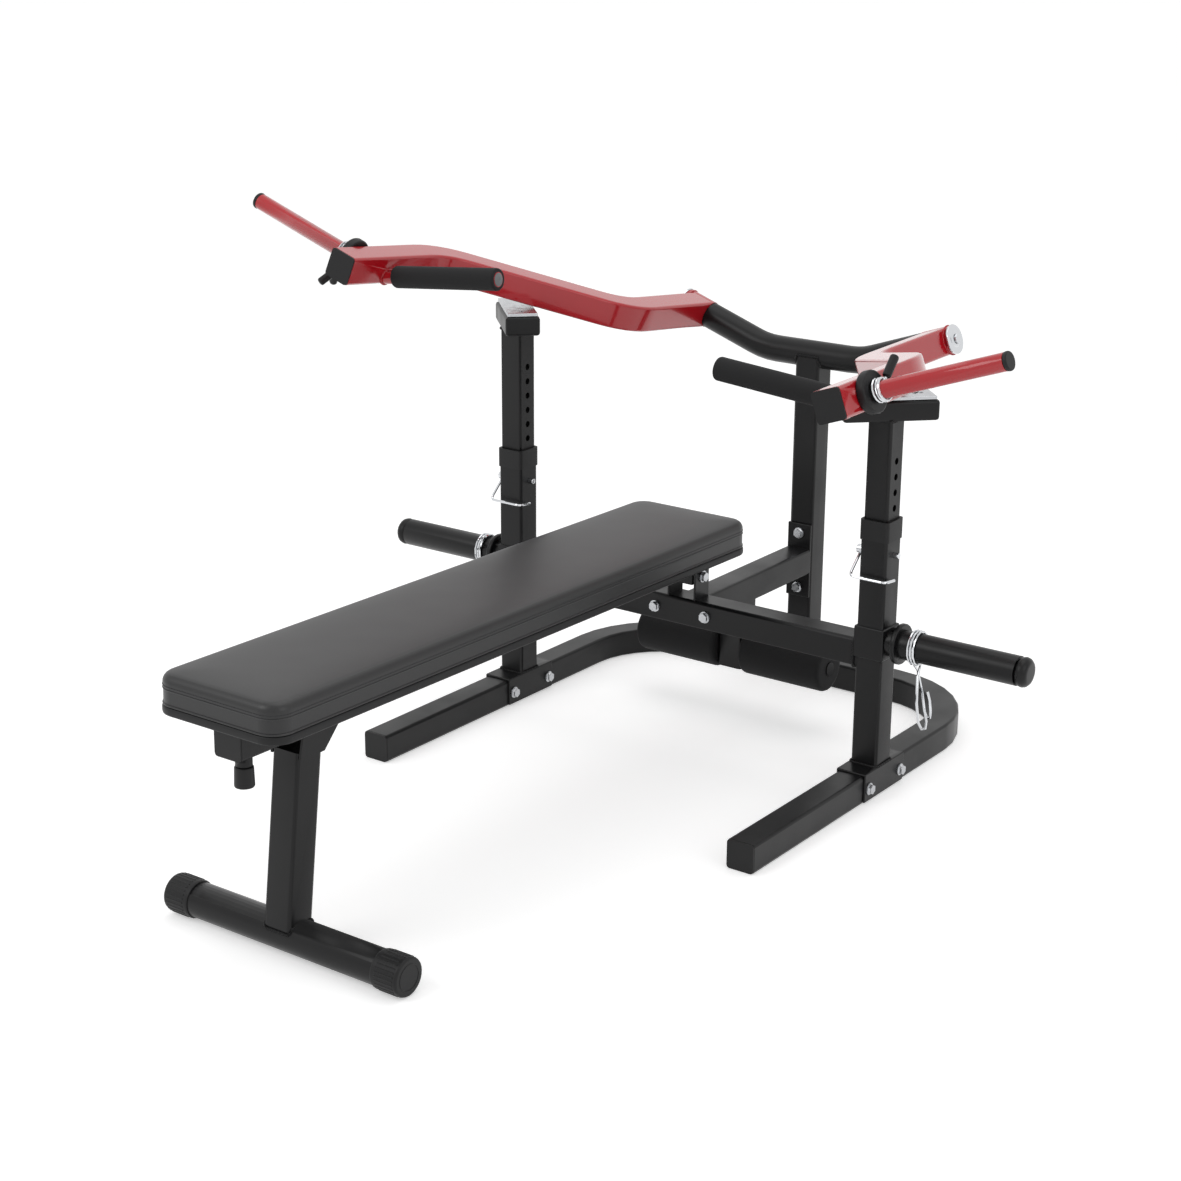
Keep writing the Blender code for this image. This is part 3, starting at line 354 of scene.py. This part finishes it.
rib = {"count": 30, "radius": 1.4 * mm, "length": 34 * mm, "faceRing": 20 * mm}
for side, sign in sides:
    capLow, capHigh = corners(f"foot_cap_{side}")
    capMiddle = middle(f"foot_cap_{side}")
    capRadius = (capHigh.z - capLow.z) / 2 - 0.7 * mm
    bm = bmesh.new()
    for k in range(rib["count"]):
        angle = 2 * pi * (k + 0.5) / rib["count"]
        spot = capMiddle + Vector((sign * 1 * mm, capRadius * cos(angle), capRadius * sin(angle)))
        lying = Matrix.Translation(spot) @ Matrix.Rotation(pi / 2, 4, "Y")
        bmesh.ops.create_cone(bm, cap_ends=True, segments=10, radius1=rib["radius"], radius2=rib["radius"],
                              depth=rib["length"], matrix=lying)
    addPiece(f"foot_ribs_{side}", meshFrom(f"foot_ribs_{side}", bm), mouldedPlastic, "frame")
    faceX = capHigh.x if sign > 0 else capLow.x
    ring = ringRoute(Vector((faceX, capMiddle.y, capMiddle.z)), Vector((1, 0, 0)), rib["faceRing"], 48)
    beadAlong(f"foot_ring_{side}", ring, mouldedPlastic, "frame", ripple=0.0,
              radius=0.7 * mm, spacing=5 * mm)

# a flanged ring round each pivot bolt's head

for side, sign in sides:
    bolt = frame["nodes"][f"pivot_bolt_{side}"].data.vertices
    pivot = Vector(jointOf[f"press_arm_{side}_pivot"]["pos_m"])
    outward = Vector(jointOf[f"press_arm_{side}_pivot"]["axis"]) * -sign
    headEnd = max((v.co - pivot).dot(outward) for v in bolt)
    turned(f"pivot_flange_{side}", [(-7.2 * mm, 9 * mm), (-7.2 * mm, 15 * mm), (-6.0 * mm, 15 * mm),
                                    (-4.4 * mm, 12.4 * mm), (-4.4 * mm, 9 * mm)],
           pivot + outward * headEnd, outward, chromePlate, "frame")
print("screws and ribs made")

# the pad's cushion: a foam block under stretched vinyl, crowned, with a welt and a row of stitches

pad = {"corner": 32 * mm, "crown": 5 * mm, "edge": 11 * mm, "wrinkle": 0.2 * mm, "welt": 2.0 * mm,
       "stitch": Vector((3.4, 0.9, 0.7)) * mm, "stitchPitch": 5.2 * mm}
padUp = -Vector(jointOf["pull_knob_slide"]["axis"])
padTurn = Matrix((Vector((1, 0, 0)), padUp.cross(Vector((1, 0, 0))), padUp)).transposed()
padPoints = [padTurn.inverted() @ v.co for v in frame["nodes"]["pad_cushion"].data.vertices]
padLow = Vector([min(p[k] for p in padPoints) for k in range(3)])
padHigh = Vector([max(p[k] for p in padPoints) for k in range(3)])
padMiddle = (padLow + padHigh) / 2
padHalf = (padHigh - padLow) / 2


def borderDistance(point):
    # how far a point of the pad's outline plane lies inside the rounded rectangle
    x = max(0.0, abs(point.x - padMiddle.x) - padHalf.x + pad["corner"])
    y = max(0.0, abs(point.y - padMiddle.y) - padHalf.y + pad["corner"])
    if x > 0 and y > 0:
        return pad["corner"] - sqrt(x * x + y * y)
    return min(padHalf.x - abs(point.x - padMiddle.x), padHalf.y - abs(point.y - padMiddle.y))


def makeCushion():
    bm = bmesh.new()
    bmesh.ops.create_cube(bm, size=1)
    bmesh.ops.scale(bm, vec=padHalf * 2, verts=bm.verts)
    bmesh.ops.translate(bm, vec=padMiddle, verts=bm.verts)
    upright = [e for e in bm.edges if abs(e.verts[0].co.z - e.verts[1].co.z) > mm]
    bmesh.ops.bevel(bm, geom=upright, offset=pad["corner"], segments=10, profile=0.5, affect="EDGES", material=-1)
    rim = [e for e in bm.edges if min(v.co.z for v in e.verts) > padHigh.z - mm]
    bmesh.ops.bevel(bm, geom=rim, offset=pad["edge"], segments=5, profile=0.5, affect="EDGES", material=-1)
    cell = 8 * mm
    for axis, normal in ((0, (1, 0, 0)), (1, (0, 1, 0))):
        count = int(2 * padHalf[axis] / cell)
        for k in range(1, count):
            place = Vector(padMiddle)
            place[axis] = padLow[axis] + 2 * padHalf[axis] * k / count
            bmesh.ops.bisect_plane(bm, geom=[*bm.verts, *bm.edges, *bm.faces], plane_co=place, plane_no=normal)
    bmesh.ops.bisect_plane(bm, geom=[*bm.verts, *bm.edges, *bm.faces], plane_co=padMiddle, plane_no=up)
    for v in bm.verts:
        inside = max(0.0, borderDistance(v.co))
        share = (v.co.z - padLow.z) / (padHigh.z - padLow.z)
        ripple = pad["wrinkle"] * noise.noise(v.co * 22)
        if share > 0.6:
            settled = 1 - pow(2.718, -inside / (26 * mm))
            v.co.z += pad["crown"] * (settled - 1) + ripple * settled
        elif 0.02 < share < 0.98 and inside < mm:
            out = Vector((v.co.x - padMiddle.x, (v.co.y - padMiddle.y) * padHalf.x / padHalf.y, 0)).normalized()
            v.co += out * (ripple - 0.4 * mm)
    bmesh.ops.transform(bm, matrix=padTurn.to_4x4(), verts=bm.verts)
    made = addPiece("pad_cushion_skin", meshFrom("pad_cushion_skin", bm), grainedVinyl, "frame", 60)
    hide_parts("pad_cushion")
    return made


makeCushion()


def padRoute(inset, height):
    route = squareRoute(padHalf.x - inset, padHalf.y - inset, pad["corner"] - inset, 12)
    return [padTurn @ (Vector((padMiddle.x, padMiddle.y, height)) + p) for p in route]


seamHeight = padLow.z + (padHigh.z - padLow.z) * 0.5
for name, height, radius in (("seam", seamHeight, 1.3 * mm), ("welt", padLow.z + 2.2 * mm, pad["welt"])):
    beadAlong(f"pad_{name}", padRoute(0.6 * mm, height), grainedVinyl, "frame", ripple=0.0,
              radius=radius, spacing=6 * mm)


def makeStitches():
    # one short stitch after another round the pad, just above the seam
    bm = bmesh.new()
    route = padRoute(-0.1 * mm, seamHeight + 5 * mm)
    placed = 0.0
    for a, b in zip(route, route[1:] + route[:1]):
        run = (b - a).normalized()
        while placed < (b - a).length:
            outward = run.cross(padUp)
            turn = Matrix((run, outward, padUp)).transposed().to_4x4()
            size = Matrix.Diagonal((*pad["stitch"], 1))
            bmesh.ops.create_cube(bm, size=1, matrix=Matrix.Translation(a + run * placed) @ turn @ size)
            placed += pad["stitchPitch"]
        placed -= (b - a).length
    mesh = bpy.data.meshes.new("pad_stitches")
    bm.to_mesh(mesh)
    bm.free()
    addPiece("pad_stitches", mesh, boundThread, "frame")


makeStitches()
print("pad made")

# floor, light and camera

stage = {"floor": "#F4F4F4", "floorGlow": 0.43, "room": 0.6, "keyPower": 40, "fillPower": 16, "topPower": 26}
bm = bmesh.new()
bmesh.ops.create_grid(bm, x_segments=1, y_segments=1, size=30)
floorMesh = meshFrom("floor", bm)
floor = bpy.data.objects.new("floor", floorMesh)
floor.location.z = -0.5 * mm
bpy.context.scene.collection.objects.link(floor)
paleFloor = material("paleFloor", stage["floor"], 0.9)
floorMesh.materials.append(paleFloor)


def seenDirectly(tree):
    # 1 for rays from the eye, mirrors and glass, and 0 for the light that falls on things
    rays = addNode(tree, "ShaderNodeLightPath")
    first = addNode(tree, "ShaderNodeMath", operation="MAXIMUM",
                    links=[(rays.outputs["Is Camera Ray"], 0), (rays.outputs["Is Glossy Ray"], 1)])
    second = addNode(tree, "ShaderNodeMath", operation="MAXIMUM",
                     links=[(first.outputs[0], 0), (rays.outputs["Is Transmission Ray"], 1)])
    return second.outputs[0]


glow = addNode(paleFloor.node_tree, "ShaderNodeMath", operation="MULTIPLY", inputs={1: stage["floorGlow"]},
               links=[(seenDirectly(paleFloor.node_tree), 0)])
floorShader = paleFloor.node_tree.nodes["Principled BSDF"]
floorShader.inputs["Emission Color"].default_value = (1, 1, 1, 1)
paleFloor.node_tree.links.new(glow.outputs[0], floorShader.inputs["Emission Strength"])

world = bpy.data.worlds.new("softRoom")
bpy.context.scene.world = world
world.use_nodes = True
background = world.node_tree.nodes["Background"]
background.inputs["Color"].default_value = (1, 1, 1, 1)
bright = addNode(world.node_tree, "ShaderNodeMath", operation="MULTIPLY_ADD",
                 inputs={1: 1 - stage["room"], 2: stage["room"]}, links=[(seenDirectly(world.node_tree), 0)])
world.node_tree.links.new(bright.outputs[0], background.inputs["Strength"])


def addLamp(name, place, target, size, power):
    data = bpy.data.lights.new(name, "AREA")
    data.shape = "SQUARE"
    data.size = size
    data.energy = power
    lamp = bpy.data.objects.new(name, data)
    lamp.location = place
    lamp.rotation_euler = (Vector(target) - Vector(place)).to_track_quat("-Z", "Y").to_euler()
    bpy.context.scene.collection.objects.link(lamp)


addLamp("keyLamp", (-1.6, -3.4, 3.4), (0, 0, 0.5), 2.2, stage["keyPower"])
addLamp("fillLamp", (3.6, -0.6, 2.2), (0, 0, 0.5), 2.0, stage["fillPower"])
addLamp("topLamp", (0, 0.6, 4.0), (0, 0, 0.3), 3.0, stage["topPower"])

view = {"azimuth": 36.11, "elevation": 18.28, "roll": 0.31, "lens": 68.55, "from": Vector((2.0894, -3.1574, 1.5301))}
cameraData = bpy.data.cameras.new("camera")
cameraData.lens = view["lens"]
cameraData.sensor_width = 36
cameraData.clip_end = 100
camera = bpy.data.objects.new("camera", cameraData)
bpy.context.scene.collection.objects.link(camera)
origin = Vector((middle("base_frame").x, middle("upright_left").y, 0))
a, e, r = [radians(view[key]) for key in ("azimuth", "elevation", "roll")]
back = Vector((sin(a) * cos(e), -cos(a) * cos(e), sin(e)))
right = Vector((cos(a), sin(a), 0))
above = back.cross(right)
axes = (right * cos(r) + above * sin(r), above * cos(r) - right * sin(r), back)
camera.matrix_world = Matrix.Translation(view["from"] + origin) @ Matrix(axes).transposed().to_4x4()
bpy.context.scene.camera = camera
bpy.context.scene.view_settings.view_transform = "Standard"

print("scene ready")
